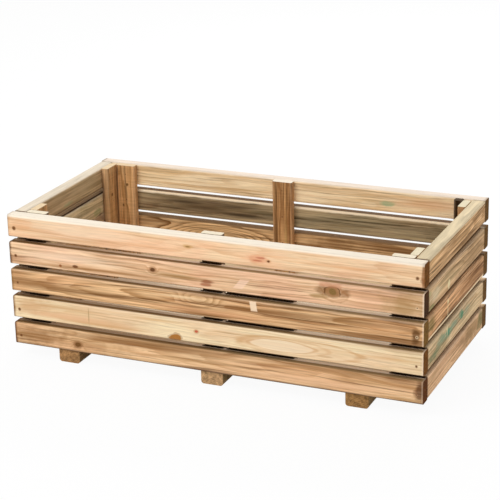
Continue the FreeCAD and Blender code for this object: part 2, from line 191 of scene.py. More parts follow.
def shade_grain(tree, face, wood, rings):
    """The colour of clean wood: rings, clouds, streaks and lines, and the hair lines that shade it."""
    colour = add(tree, "Mix", {0: rings, 6: linear(wood["early"]), 7: linear(wood["late"])},
                 data_type="RGBA")
    for pattern, low, high, strength, shade in (
        ("patch", 0.42, 0.64, wood["tints"], wood["tint"]),
        ("band", 0.50, 0.64, wood["streaks"], wood["streak"]),
        ("line", 0.55, 0.70, wood["lines"], wood["line"]),
    ):
        share = add(tree, "MapRange", {0: face[pattern], 1: low, 2: high, 3: 0.0, 4: strength},
                    interpolation_type="SMOOTHSTEP")
        colour = add(tree, "Mix", {0: share, 6: colour, 7: linear(shade)}, data_type="RGBA")
    hairs = []
    for pattern, share in (("line", wood["contrast"]), ("fibre", 0.12)):
        hair = add(tree, "MapRange", {0: face[pattern], 1: 0.32, 2: 0.68, 3: 1 + 0.7 * share, 4: 1 - share})
        colour = add(tree, "Mix", {0: 1.0, 6: colour, 7: hair}, data_type="RGBA", blend_type="MULTIPLY")
        hairs.append(hair)
    return colour, hairs


def stain(tree, face, wood, colour, knots):
    """Lays on the stains, the eyes and flames, the sharp patches, the knots and the saw marks."""
    for along, across, length, height, shade, strength in wood["marks"]:
        reach = from_oval(tree, face, along, across, length, height)
        # Slim stains follow the grain, and others are blotches
        ragged = face["band" if length > 5 * height else "grime"]
        reach = add(tree, "Math", {0: ragged, 1: 1.4, 2: reach}, operation="MULTIPLY_ADD")
        core = 0.8 if length > LONG_STAIN else 1.2
        share = add(tree, "MapRange", {0: reach, 1: core, 2: 1.85, 3: strength, 4: 0.0},
                    interpolation_type="SMOOTHSTEP")
        colour = add(tree, "Mix", {0: share, 6: colour, 7: linear(shade)}, data_type="RGBA")
    for along, across, length, height, shade, strength, rim, rimmed in wood["ovals"]:
        reach = from_oval(tree, face, along, across, length, height)
        pattern, wobble = ("ripple", 0.3) if length > FLAME else ("grime", 0.8)
        reach = add(tree, "Math", {0: face[pattern], 1: wobble, 2: reach}, operation="MULTIPLY_ADD")
        inside = add(tree, "MapRange", {0: reach, 1: 1.0, 2: OVAL_RIM, 3: strength, 4: 0.0},
                     interpolation_type="SMOOTHSTEP")
        colour = add(tree, "Mix", {0: inside, 6: colour, 7: linear(shade)}, data_type="RGBA")
        beside = add(tree, "Math", {0: reach, 1: OVAL_RIM}, operation="SUBTRACT")
        beside = add(tree, "Math", {0: beside}, operation="ABSOLUTE")
        broken = add(tree, "MapRange", {0: face["band"], 1: 0.38, 2: 0.56, 3: 0.35 * rimmed, 4: rimmed})
        outline = add(tree, "MapRange", {0: beside, 1: 0.02, 2: 0.12, 3: broken, 4: 0.0},
                      interpolation_type="SMOOTHSTEP")
        colour = add(tree, "Mix", {0: outline, 6: colour, 7: linear(rim)}, data_type="RGBA")
    for along, across, length, height, lean, shade, strength in wood["patches"]:
        apart = add(tree, "VectorMath", {0: face["grain"], 1: (along, across, 0)}, operation="SUBTRACT")
        sides = add(tree, "SeparateXYZ", {0: apart})
        aside = add(tree, "Math", {0: sides.outputs["Y"], 1: -lean, 2: sides.outputs["X"]},
                    operation="MULTIPLY_ADD")
        aside = add(tree, "Math", {0: aside}, operation="ABSOLUTE")
        aside = add(tree, "Math", {0: aside, 1: 2 / length}, operation="MULTIPLY")
        above = add(tree, "Math", {0: sides.outputs["Y"]}, operation="ABSOLUTE")
        above = add(tree, "Math", {0: above, 1: 2 / height}, operation="MULTIPLY")
        reach = add(tree, "Math", {0: aside, 1: above}, operation="MAXIMUM")
        share = add(tree, "MapRange", {0: reach, 1: 0.8, 2: 1.15, 3: strength, 4: 0.0},
                    interpolation_type="SMOOTHSTEP")
        colour = add(tree, "Mix", {0: share, 6: colour, 7: linear(shade)}, data_type="RGBA")
    for reach, size, shade in knots:
        halo = add(tree, "MapRange", {0: reach, 1: 1.4 * size, 2: 2.3 * size, 3: 0.6, 4: 0.0},
                   interpolation_type="SMOOTHSTEP")
        colour = add(tree, "Mix", {0: halo, 6: colour, 7: linear(wood["line"])}, data_type="RGBA")
        core = add(tree, "MapRange", {0: reach, 1: 1.1 * size, 2: 1.4 * size, 3: 0.9, 4: 0.0},
                   interpolation_type="SMOOTHSTEP")
        years = add(tree, "Math", {0: reach, 1: 4.0}, operation="MULTIPLY")
        years = add(tree, "Math", {0: years}, operation="SINE")
        bright = add(tree, "MapRange", {0: years, 1: -1.0, 2: 1.0, 3: 0.7, 4: 1.3})
        disc = add(tree, "Mix", {0: 1.0, 6: linear(shade), 7: bright},
                   data_type="RGBA", blend_type="MULTIPLY")
        colour = add(tree, "Mix", {0: core, 6: colour, 7: disc}, data_type="RGBA")
    if wood["sawn"]:
        kerf = add(tree, "MapRange", {0: face["saw"], 1: 0.35, 2: 0.65,
                                      3: 1 - wood["sawn"], 4: 1 + 0.5 * wood["sawn"]})
        colour = add(tree, "Mix", {0: 1.0, 6: colour, 7: kerf}, data_type="RGBA", blend_type="MULTIPLY")
    return colour


def wear(tree, face, wood, colour, hairs):
    """Rubs and soils the piece, and paints light and shade on arrises, gap tops, lower arris, top and ends.
    """
    along, across = face["along"], face["across"]
    stop, top, half_depth = face["half"]
    # Long arrises paled by wear, and partly a painted highlight for the light they catch
    for side, rubbed in zip((-1.0, 1.0), wood["edges"]):
        outwards = add(tree, "Math", {0: across, 1: side}, operation="MULTIPLY")
        ragged = add(tree, "Math", {0: face["grime"], 1: 4.0, 2: outwards}, operation="MULTIPLY_ADD")
        arris = add(tree, "MapRange", {0: ragged, 1: top - 3, 2: top + 1, 3: 0.0, 4: rubbed},
                    interpolation_type="SMOOTHSTEP")
        colour = add(tree, "Mix", {0: arris, 6: colour, 7: linear(wood["edge"])}, data_type="RGBA")
    # Painted light and shade on the board's top where it shows in a gap, in steps of depth and in stretches
    # along it
    if wood["shelf"]:
        near, steps = wood["shelf"]
        flat = add(tree, "MapRange", {0: across, 1: top - 1.6, 2: top - 0.6, 3: 0.0, 4: 1.0})
        into = add(tree, "Math", {0: face["through"], 1: float(-near), 2: half_depth},
                   operation="MULTIPLY_ADD")
        for inset, shade in steps:
            share = add(tree, "MapRange", {0: into, 1: inset - STEP_BLUR, 2: inset + STEP_BLUR,
                                           3: 0.0, 4: flat})
            colour = add(tree, "Mix", {0: share, 6: colour, 7: linear(shade)}, data_type="RGBA")
        for first, last, fade, inset, shade in wood["stained"]:
            deep = add(tree, "MapRange", {0: into, 1: inset - STEP_BLUR, 2: inset + STEP_BLUR,
                                          3: 0.0, 4: flat})
            apart = add(tree, "Math", {0: along, 1: (first + last) / 2}, operation="SUBTRACT")
            apart = add(tree, "Math", {0: apart}, operation="ABSOLUTE")
            reach = (last - first) / 2
            share = add(tree, "MapRange", {0: apart, 1: reach, 2: reach + fade, 3: deep, 4: 0.0})
            colour = add(tree, "Mix", {0: share, 6: colour, 7: linear(shade)}, data_type="RGBA")
    # Painted shade along the lower arris, under each board
    if wood["sole"]:
        under = add(tree, "MapRange", {0: across, 1: 0.5 - top, 2: 2.6 - top, 3: wood["sole"], 4: 0.0})
        colour = add(tree, "Mix", {0: under, 6: colour, 7: linear(DAMP_DIRT)}, data_type="RGBA")
    # The top and its rounding are painted pale for the light that falls on them
    if wood["crowned"]:
        steep = add(tree, "MapRange", {0: across, 1: top - 2.2, 2: top - 0.4, 3: 1.0, 4: 0.0})
        bleached = add(tree, "Mix", {0: steep, 6: linear(wood["crown"]), 7: linear(wood["shoulder"])},
                       data_type="RGBA")
        for hair in hairs:
            bleached = add(tree, "Mix", {0: 0.5, 6: bleached, 7: hair},
                           data_type="RGBA", blend_type="MULTIPLY")
        hem = top - wood["hang"]
        share = add(tree, "MapRange", {0: across, 1: hem - 2, 2: hem + 2, 3: 0.0, 4: wood["crowned"]},
                    interpolation_type="SMOOTHSTEP")
        colour = add(tree, "Mix", {0: share, 6: colour, 7: bleached}, data_type="RGBA")
    # Beside each end: dirt with painted shade on the rounded corner, and a strip of paler wood
    for side, dark, light in zip((-1.0, 1.0), wood["soil"], wood["pale"]):
        outwards = add(tree, "Math", {0: along, 1: side}, operation="MULTIPLY")
        ragged = add(tree, "Math", {0: face["grime"], 1: 8.0, 2: outwards}, operation="MULTIPLY_ADD")
        if dark:
            fringe = add(tree, "MapRange", {0: ragged, 1: stop - 3, 2: stop + 4, 3: 0.0, 4: dark},
                         interpolation_type="SMOOTHSTEP")
            colour = add(tree, "Mix", {0: fringe, 6: colour, 7: linear(wood["end"])}, data_type="RGBA")
        if light:
            rubbed = add(tree, "MapRange", {0: outwards, 1: stop - 4.5, 2: stop - 2.5, 3: 0.0, 4: light},
                         interpolation_type="SMOOTHSTEP")
            colour = add(tree, "Mix", {0: rubbed, 6: colour, 7: linear(wood["edge"])}, data_type="RGBA")
    return colour


def saw_off(tree, face, wood, colour, rings):
    """The two sawn ends, which take up dirt and show the rings as blotches."""
    stop, mottled = face["half"][0], wood["mottled"]
    length = add(tree, "Math", {0: face["along"]}, operation="ABSOLUTE")
    cut = add(tree, "MapRange", {0: length, 1: stop - 0.6, 2: stop - 0.2, 3: 0.0, 4: 1.0})
    mottle = add(tree, "MapRange", {0: face["ripple"], 1: 0.3, 2: 0.7, 3: 1 - mottled, 4: 1 + mottled})
    years = add(tree, "MapRange", {0: rings, 1: 0.0, 2: 0.6, 3: 1 + 0.3 * mottled, 4: 1 - 0.8 * mottled})
    mottle = add(tree, "Math", {0: mottle, 1: years}, operation="MULTIPLY")
    ends = add(tree, "Mix", {0: 1.0, 6: linear(wood["end"]), 7: mottle},
               data_type="RGBA", blend_type="MULTIPLY")
    return add(tree, "Mix", {0: cut, 6: colour, 7: ends}, data_type="RGBA")


def pine(name, node, axes, seed, **look):
    """Bare pine, planed or sawn. It gives the eye rings cut along the grain as stripes and flames, knots
    and stains, on a dry face with hardly any shine whose late wood stands a little proud. The axes are
    those along, across and through, and the seed gives each piece wood of its own."""
    wood = {**PLAIN_PINE, **look}
    material = bpy.data.materials.new(name)
    material.use_nodes = True
    tree = material.node_tree
    tree.nodes.clear()
    face = lay_out(tree, node, axes, seed)
    rings, knots = grow(tree, face, wood)
    colour, hairs = shade_grain(tree, face, wood, rings)
    colour = stain(tree, face, wood, colour, knots)
    colour = wear(tree, face, wood, colour, hairs)
    colour = saw_off(tree, face, wood, colour, rings)
    rough = add(tree, "MapRange", {0: rings, 1: 0.0, 2: 1.0, 3: 0.72, 4: 0.55})
    height = add(tree, "Math", {0: face["fibre"], 1: 0.7, 2: rings}, operation="MULTIPLY_ADD")
    height = add(tree, "Math", {0: face["line"], 1: 0.8, 2: height}, operation="MULTIPLY_ADD")
    if wood["sawn"]:
        height = add(tree, "Math", {0: face["saw"], 1: 3 * wood["sawn"], 2: height},
                     operation="MULTIPLY_ADD")
    relief = add(tree, "Bump", {"Strength": 0.4, "Distance": RELIEF / MILLIMETRES, "Height": height})
    shader = add(tree, "BsdfPrincipled", {"Base Color": colour, "Roughness": rough, "Normal": relief,
                                          "IOR": 1.5, "Specular IOR Level": 0.04})
    add(tree, "OutputMaterial", {"Surface": shader})
    return material


def dress(node, material):
    """Gives a piece of the frame its finish."""
    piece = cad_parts[node]
    for slot in piece.material_slots:
        slot.material = material


BEARER_ENDS = {"left": "#A27A50", "middle": "#B49068", "right": "#987246"}
for seed, (side, end) in enumerate(BEARER_ENDS.items(), start=31):
    node = side + "_bearer"
    dress(node, pine("sawn pine, " + node, node, "YXZ", seed, early="#B08C5E", late="#7E5C34", ring=3.0,
                     pith=(14, -30), depth=0.7, streak="#6A4C2A", streaks=0.5, line="#4E381E", lines=0.4,
                     tint="#86764A", tints=0.4, end=end, mottled=0.38, edges=(0.0, 0.0), sawn=0.25))

# Floor boards
# Six sawn boards laid along the planter on the bearers, with drainage gaps between them. They are
# nailed down from above and hold the soil.

# Their wood is drawn nearly white, as painted light where it shows through the gaps in the walls
for number in range(1, 7):
    node = "floor_board_%d" % number
    dress(node, pine("sawn pine, " + node, node, "XYZ", 40 + number, early="#FBF0DC", late="#E6CCA2",
                     ring=4.5, pith=(5 * number - 18, -40), depth=0.5, streak="#D4B484", streaks=0.35,
                     tint="#F0DEBC", tints=0.4, end="#8F6C42", edges=(0.1, 0.1), sawn=0.05))

# Front wall
# Five planed boards the full length of the planter, with rounded edges, nailed at each end. The light
# falls on them, so each shows its own wood: pale sapwood, brown heart streaks, flames and knots.

# Half a board's length, and the places of its nails: over the middle of the end wall's thickness, and a
# little below the middle of the board
BOARD_END = MILLIMETRES * cad_box[1][0]
NAIL = MILLIMETRES * sum(corner[0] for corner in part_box("right_board_1")) / 2
NAIL_LEVEL = -5
NAIL_BRUISE = "#7A4C26"
FRONT_WOOD = {
    1: dict(early="#F2D0A8", late="#D8A474", ring=5.5, pith=(10, -70), slope=(0.01, 0.0), depth=0.5,
            streak="#E0AA7C", streaks=0.40, line="#C08858", lines=0.32, contrast=0.08,
            tint="#F4BE98", tints=0.5, shoulder="#FAEBD6", crowned=0.95, hang=4.5, sole=0.5,
            end="#704414", soil=(0.25, 0.35), knots=((134, -8, 2.4, "#5E3018"),),
            marks=((-418, 6, 60, 22, "#DC9A68", 0.35), (112, -5, 44, 18, "#D88A62", 0.5),
                   (118, -3, 22, 5, "#B4583A", 0.6), (112, -9, 20, 4, "#B4583A", 0.6),
                   (-39, 2.4, 26, 9, "#C89A5C", 0.6), (-39, 2.0, 12, 4, "#8A6A38", 0.7),
                   (-290, 4, 300, 44, "#F2DCC2", 0.35), (-300, -14, 260, 9, "#C89060", 0.5),
                   (300, -2, 240, 8, "#D69A66", 0.5), (448, 0, 8, 70, "#8A5228", 0.7),
                   (447, -10, 12, 12, "#8A5228", 0.5), (-NAIL, NAIL_LEVEL, 9, 9, NAIL_BRUISE, 0.9),
                   (NAIL, NAIL_LEVEL, 7, 7, NAIL_BRUISE, 0.8))),
    2: dict(early="#F2CCA4", late="#C08C5E", ring=5.0, pith=(-25, -60), slope=(-0.02, 0.01), depth=0.6,
            streak="#B88456", streaks=0.45, line="#94623A", lines=0.5, contrast=0.20,
            tint="#EAB492", tints=0.5, edges=(0.1, 0.18), sole=0.75,
            end="#46280A", soil=(0.85, 0.2), pale=(0.0, 0.5),
            knots=((-119, 3, 5.0, "#5E3A20"), (266, 6, 7.5, "#86683A")),
            ovals=((272, -1, 68, 42, "#D8A880", 0.2, "#A8744A", 0.55),
                   (266, 5, 44, 30, "#A07C4C", 0.6, "#5A3A1C", 0.8)),
            patches=((75, -3, 20, 20, 0.8, "#FAD6BC", 0.55), (262, 19, 46, 9, 0.0, "#C88A68", 0.6)),
            # The mark at 405 along, high on the face, is painted shade below the dark gap at the right end
            marks=((-300, 5, 300, 30, "#F4DEC2", 0.4), (405, 24, 150, 18, "#7A5028", 0.5),
                   (-230, -14, 420, 10, "#9C6C3C", 0.75), (-60, -4, 190, 14, "#98703C", 0.8),
                   (-331, -14, 7, 6, "#8A5028", 0.9), (-296, -12, 15, 7, "#6A3E20", 0.9),
                   (2, -7, 30, 9, "#8A4A2A", 0.75), (-2, -14, 24, 7, "#9A5434", 0.7),
                   (244, 6, 34, 19, "#7A5228", 0.65), (290, 5, 30, 20, "#7A5228", 0.6),
                   (240, -6, 50, 12, "#9A7A44", 0.6), (350, -14, 200, 14, "#B8855A", 0.5),
                   (415, -2, 120, 70, "#A07C46", 0.6), (-NAIL, NAIL_LEVEL, 8, 8, NAIL_BRUISE, 0.9),
                   (NAIL, NAIL_LEVEL, 8, 8, "#EFD3A8", 0.8), (NAIL, NAIL_LEVEL, 4, 4, "#6A4424", 0.8))),
    3: dict(early="#E6BC8C", late="#96642F", ring=6.0, pith=(8, -36), slope=(0.01, 0.01), depth=0.7,
            streak="#8C5E34", streaks=0.7, line="#70461F", lines=0.6, contrast=0.26,
            tint="#D49C6E", tints=0.4, edges=(0.1, 0.18), sole=0.75,
            end="#7A5826", soil=(0.6, 0.2), pale=(0.0, 0.4), swells=((-20, 12, 90, 26, 22),),
            patches=((100, 13, 14, 20, -0.15, "#F6DABA", 0.9),),
            marks=((-320, -5, 640, 13, "#80562C", 0.65), (-420, 2, 120, 22, "#8E6236", 0.5),
                   (-60, 13, 130, 9, "#F0D0A4", 0.75), (110, 4, 300, 12, "#80542A", 0.75),
                   (20, -13, 340, 14, "#D89E72", 0.6), (250, 9, 380, 9, "#7E542C", 0.55),
                   # The mark at 405 along, high on the face, is painted shade below the dark gap at the
                   # right end
                   (300, -6, 260, 10, "#DCAA78", 0.5), (405, 23, 150, 18, "#6A441E", 0.6),
                   (434, -2, 18, 38, "#5A381A", 0.8), (NAIL, NAIL_LEVEL, 8, 8, "#E8CCA4", 0.8),
                   (NAIL, NAIL_LEVEL, 4, 4, "#6A4424", 0.8), (-NAIL, NAIL_LEVEL, 8, 8, NAIL_BRUISE, 0.8))),
    4: dict(early="#F4DEB6", late="#D0A46C", ring=6.5, pith=(-6, -44), slope=(0.0, 0.02), depth=0.4,
            streak="#DFB684", streaks=0.35, line="#BE9060", lines=0.35, contrast=0.12,
            tint="#F2CCA6", tints=0.45, edges=(0.1, 0.18), sole=0.75,
            end="#704414", soil=(0.85, 0.2), pale=(0.0, 0.5), knots=((-26, 2, 3.0, "#C0523C"),),
            ovals=((-74, -20, 42, 31, "#A66A26", 0.95, "#7E4E20", 0.6),
                   (195, -4, 262, 40, "#F0D2AA", 0.4, "#CC9A66", 0.55),
                   (158, -3, 142, 25, "#F8E4C8", 0.4, "#CC9A6A", 0.5),
                   (168, -3, 176, 33, "#F8E4C8", 0.0, "#D2A474", 0.4)),
            # The mark at 405 along, high on the face, is painted shade below the dark gap at the right end
            marks=((-405, 4, 110, 50, "#C48E5C", 0.5), (405, 24, 150, 12, "#8E6636", 0.5),
                   (-330, 11, 220, 7, "#B88A58", 0.55), (-215, -15, 240, 7, "#C0925C", 0.5),
                   (-300, 0, 360, 64, "#D2A474", 0.4), (-250, -10, 320, 14, "#DAAA7A", 0.5),
                   (-320, -6, 200, 20, "#E8B890", 0.5), (-271, 0, 3, 40, "#A88458", 0.55),
                   (-120, 14, 160, 8, "#D0A068", 0.5), (250, -12, 36, 6, "#A87844", 0.6),
                   (390, 4, 130, 10, "#D2A470", 0.5), (-NAIL, NAIL_LEVEL, 8, 8, NAIL_BRUISE, 0.9),
                   (NAIL, NAIL_LEVEL, 8, 8, NAIL_BRUISE, 0.9))),
    5: dict(early="#F4CC9E", late="#B07C46", ring=5.0, pith=(12, -40), slope=(-0.02, 0.0), depth=0.6,
            streak="#98682F", streaks=0.5, line="#7C4E26", lines=0.55, contrast=0.22,
            tint="#E0AC80", tints=0.5, edges=(0.1, 0.0), sole=0.75,
            end="#5C3006", soil=(0.95, 0.6), pale=(0.0, 0.2), knots=((-300, -7, 6.0, "#6E4A26"),),
            # The first mark, along the whole lower edge, is painted shade
            marks=((0, -24, 4000, 11, "#5A3820", 0.9), (-400, 0, 200, 60, "#865A2E", 0.6),
                   (-270, 0, 240, 50, "#9A6C3C", 0.45), (-120, 13, 420, 14, "#8A5C2E", 0.8),
                   (130, 10, 200, 10, "#94643A", 0.65), (240, -8, 420, 22, "#F4C69C", 0.6),
                   # The mark at 405 along, high on the face, is painted shade below the dark gap at the
                   # right end
                   (405, 23, 150, 18, "#744A20", 0.6), (-90, 20, 500, 14, "#80562A", 0.7),
                   (250, 21, 380, 12, "#96683A", 0.6), (330, 6, 160, 10, "#A87E48", 0.5),
                   (443, 4, 20, 52, "#54301A", 0.8), (435, -2, 12, 18, "#7A4C2C", 0.5),
                   (425, -23, 110, 10, "#4A2A14", 0.7), (NAIL, NAIL_LEVEL, 4, 4, "#D8B48C", 0.7),
                   (-NAIL, NAIL_LEVEL, 7, 7, NAIL_BRUISE, 0.8))),
}

# Light from behind falls through each gap on the inner half of the board below, and that half is also
# painted pale for it. The top is painted duller towards the left, shaded brown near the front, and painted
# shade where an upright stands behind it.
UPRIGHTS = ("front_wall_left_batten", "front_wall_middle_batten", "front_wall_right_batten",
            "front_backing_board")
DULL_STOPS = {2: -280, 3: -280, 4: -170, 5: -170}
OFF_BOARD = 2 * BOARD_END
for row, wood in FRONT_WOOD.items():
    node = "front_board_%d" % row
    if row > 1:
        behind = UPRIGHTS if row > 2 else UPRIGHTS[:3]
        spans = [[MILLIMETRES * corner[0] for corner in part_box(upright)] for upright in behind]
        # The painted shade before the right batten runs on to the board's end, beside the end wall
        spans[2][1] = BOARD_END
        wood["shelf"] = (-1, ((3, "#A08058"),))
        wood["stained"] = [(-OFF_BOARD, -40, 120, 4, "#86643F"),
                           (-OFF_BOARD, OFF_BOARD, 2, 15, "#FFE2C2"),
                           (-OFF_BOARD, DULL_STOPS[row], 180, 15, "#C8A684")]
        wood["stained"] += [(start, stop, 2, 19, DAMP_DIRT) for start, stop in spans]
    dress(node, pine("planed pine, " + node, node, "XZY", row, **wood))

# Right end wall
# Five shorter planed boards butted between the long walls, whose nails hold their ends. Out of the main
# light they look tan, and the fourth has smears of green marking wax along it.

RIGHT_WOOD = {
    1: dict(early="#F0C290", late="#986832", ring=5.0, pith=(20, 60), depth=0.65, streak="#8A6236",
            streaks=0.6, line="#5A3C1C", lines=0.7, contrast=0.46, tint="#DDB480", tints=0.3,
            crown="#D4C3A0", shoulder="#FCE6BE", crowned=0.9, hang=4.0, edges=(0.1, 0.5),
            marks=((40, -14, 320, 12, "#6A4824", 0.7), (-120, 0, 160, 8, "#76522A", 0.6))),
    2: dict(early="#EAC092", late="#A47E4E", ring=4.0, pith=(-15, 70), depth=0.6, streak="#8E7248",
            streaks=0.55, line="#5E4828", lines=0.6, contrast=0.38, tint="#D0B88C", tints=0.5,
            marks=((-150, 0, 90, 30, "#F0E0BC", 0.5), (110, 0, 260, 60, "#8E6E48", 0.5),
                   (-60, -10, 18, 18, "#F6E6B4", 0.8), (-61, -18, 6, 24, "#F2E4B4", 0.7),
                   (-175, -20, 46, 14, "#6E7A3C", 0.6), (-190, 12, 30, 10, "#9AA070", 0.5))),
    3: dict(early="#F6C08E", late="#9A6230", ring=5.0, pith=(10, 50), depth=0.7, streak="#7A4A24",
            streaks=0.6, line="#4A2810", lines=0.7, contrast=0.48, tint="#CC9866", tints=0.4,
            edge="#FFEACA", edges=(0.85, 0.1), patches=((0, -18.7, 460, 3.4, 0.0, "#FFE6BC", 0.9),),
            marks=((-64, 14, 10, 9, "#FAE8AC", 0.95), (-65, -2, 6, 52, "#F2DCA8", 0.65),
                   (-172, 6, 60, 36, "#5E602C", 0.6), (120, 2, 220, 40, "#74481F", 0.6),
                   (150, 10, 170, 13, "#3A200C", 0.65))),
    4: dict(early="#F6D4A6", late="#B89264", ring=4.5, pith=(-10, 60), depth=0.55, streak="#98805A",
            streaks=0.5, line="#74603E", lines=0.45, contrast=0.26, tint="#D8C094", tints=0.5,
            marks=((-120, -6, 190, 60, "#7E7048", 0.4), (-150, -6, 90, 24, "#62805E", 0.6),
                   (-100, 6, 90, 26, "#6A9A80", 0.6), (-56, 7, 80, 24, "#5F9C80", 0.6),
                   (-62, 9, 34, 15, "#4A9070", 0.6), (-18, 9, 80, 20, "#6EA086", 0.55),
                   (30, 11, 44, 22, "#5C9A7C", 0.6), (37, 9, 22, 14, "#3E8A66", 0.6),
                   (70, 6, 64, 22, "#A2B294", 0.5), (-66, 12, 5, 26, "#F2E4B4", 0.7),
                   (-68, 16, 9, 8, "#FAF0B4", 0.95))),
    5: dict(early="#FFD2A4", late="#C89664", ring=5.0, pith=(5, 60), depth=0.55, streak="#AA7E52",
            streaks=0.45, line="#80582E", lines=0.45, contrast=0.20, tint="#E0B08A", tints=0.5,
            marks=((110, 4, 220, 50, "#86683C", 0.65), (180, 6, 60, 40, "#5E6A3A", 0.6),
                   (-150, 12, 90, 14, "#B49266", 0.5))),
}
# Painted shade on the top of each lower board where it shows in a gap, darker further in
DARK_LEDGE = (1, ((8, "#8A623C"), (16, "#3A2614")))
for row, wood in RIGHT_WOOD.items():
    node = "right_board_%d" % row
    ledge = DARK_LEDGE if row > 1 else ()
    dress(node, pine("planed pine, " + node, node, "YZX", 10 + row, shelf=ledge, sole=0.8, **wood))

# Back wall
# Five planed boards like the front ones, nailed at each end. The inside of the second is grey and dark
# with weather, and the third is cut through the middle of its rings.

BACK_WOOD = {
    # The first board's inside is drawn paler, as painted light against the shade within the planter
    1: dict(early="#FFE8C0", late="#D8AA70", ring=4.5, pith=(-20, 60), depth=0.6, streak="#C89A60",
            streaks=0.4, line="#A87840", lines=0.5, contrast=0.18, tint="#EAC892", tints=0.4,
            crown="#E0D1C2", shoulder="#EADCC8", crowned=0.95, edges=(0.3, 0.2),
            marks=((237, -5, 34, 14, "#8FB488", 0.65), (330, 2, 200, 30, "#DCA272", 0.5),
                   (-400, -8, 60, 16, "#C89258", 0.6))),
    # The second's upper inner arris and the near part of its top are painted pale as a highlight, the rest
    # of its top painted shade
    2: dict(early="#B49E7A", late="#7C6646", ring=4.5, pith=(8, 40), slope=(0.02, 0.02), depth=0.6,
            streak="#6A583A", streaks=0.6, line="#44341E", lines=0.55, contrast=0.38,
            tint="#9A8E70", tints=0.6, shelf=(-1, ((0, "#F4E2C4"), (8, "#7A6248"))),
            edge="#F4E2C4", edges=(0.2, 0.8),
            marks=((-200, 0, 400, 64, "#5C4630", 0.65), (-250, 8, 130, 12, "#32261A", 0.55),
                   (-190, -2, 170, 13, "#3A2C1E", 0.5), (-130, 6, 120, 11, "#2A2016", 0.55),
                   (-100, -10, 110, 12, "#241A10", 0.6), (-280, -8, 100, 10, "#43331F", 0.5),
                   (-170, 14, 70, 7, "#6E5C4A", 0.5), (-330, -10, 110, 16, "#7A6044", 0.5),
                   (250, -16, 300, 8, "#C0AC84", 0.5), (380, 0, 160, 50, "#6A5A40", 0.5))),
    3: dict(early="#E4BC8A", late="#744A20", ring=9.0, pith=(-4, 30), slope=(0.0, 0.02), depth=0.95,
            streak="#A57847", streaks=0.3, line="#6A4420", lines=0.6, contrast=0.3,
            # The third's top in the gap is painted a shaded brown
            tint="#CDA472", tints=0.3, shelf=(-1, ((0, "#8A6A48"),)), edges=(0.1, 0.0),
            swells=((-160, -4, 230, 44, 62),),
            marks=((110, 4, 170, 60, "#7E562E", 0.6), (330, 4, 260, 60, "#A0784A", 0.5),
                   (200, 15, 300, 6, "#5E3A18", 0.7), (260, 8, 340, 5, "#64401C", 0.7),
                   (190, 2, 260, 5, "#5E3A18", 0.6), (-330, 14, 160, 8, "#6A4420", 0.6))),
    # The fourth and fifth are drawn pale, as painted light on their inside where it shows through the front
    # gaps
    4: dict(early="#F2DEBB", late="#D2AE80", ring=5.0, pith=(15, 50), depth=0.6, streak="#C49A68",
            streaks=0.4, tint="#E4C698", tints=0.4),
    5: dict(early="#F2DAB4", late="#D0AA7A", ring=5.0, pith=(-15, 60), depth=0.6, streak="#C49A68",
            streaks=0.4, tint="#E4C698", tints=0.4),
}
for row, wood in BACK_WOOD.items():
    node = "back_board_%d" % row
    dress(node, pine("planed pine, " + node, node, "XZY", 20 + row, end="#6A4A20", **wood))

# Left end wall
# Five planed boards butted between the long walls, whose nails hold their ends. They face away from the
# light and are grey-brown on the inside.

LEFT_WOOD = {
    1: dict(early="#C8AC86", late="#9A7E58", ring=4.5, pith=(12, -60), depth=0.4, streak="#8E7852",
            streaks=0.45, line="#6A5636", lines=0.5, contrast=0.24, tint="#BCA67E", tints=0.5,
            crown="#DACFBD", shoulder="#E2D6C2", crowned=0.85,
            # The dark strip along the lower edge of the first is painted shade
            patches=((0, -22, 460, 5, 0.0, "#4A3018", 0.75),),
            marks=((-15, -12, 40, 10, "#8FA47C", 0.5), (40, 4, 120, 30, "#CDB490", 0.4),
                   (-130, 6, 90, 40, "#86683F", 0.4), (175, 0, 60, 60, "#5E4426", 0.6))),
    2: dict(early="#E2CCA4", late="#B8A078", ring=4.5, pith=(-12, -50), depth=0.4, streak="#8E7C58",
            streaks=0.45, line="#665636", lines=0.5, contrast=0.24, tint="#B4AA7E", tints=0.5,
            # The second's top in the gap is painted shaded near its arris and lit further in
            sawn=0.08, shelf=(1, ((3, "#4A3018"), (9, "#C8A880"))),
            marks=((114, -10, 40, 18, "#8C9A64", 0.5), (124, -21, 30, 8, "#2E2416", 0.7))),
    3: dict(early="#C09A6C", late="#906A40", ring=5.0, pith=(10, -60), depth=0.5),
    4: dict(early="#C9A878", late="#9A7648", ring=5.0, pith=(-15, -60), depth=0.5),
    5: dict(early="#C49C6C", late="#946E42", ring=5.0, pith=(6, -60), depth=0.5),
}
for row, wood in LEFT_WOOD.items():
    node = "left_board_%d" % row
    dress(node, pine("planed pine, " + node, node, "YZX", 50 + row, **wood))

# Battens and backing board
# Upright strips of sawn pine nailed inside the walls, at both ends of each wall and at the middle of the
# long ones, and a wide board behind the lower rows of the front wall. They tie the boards together.

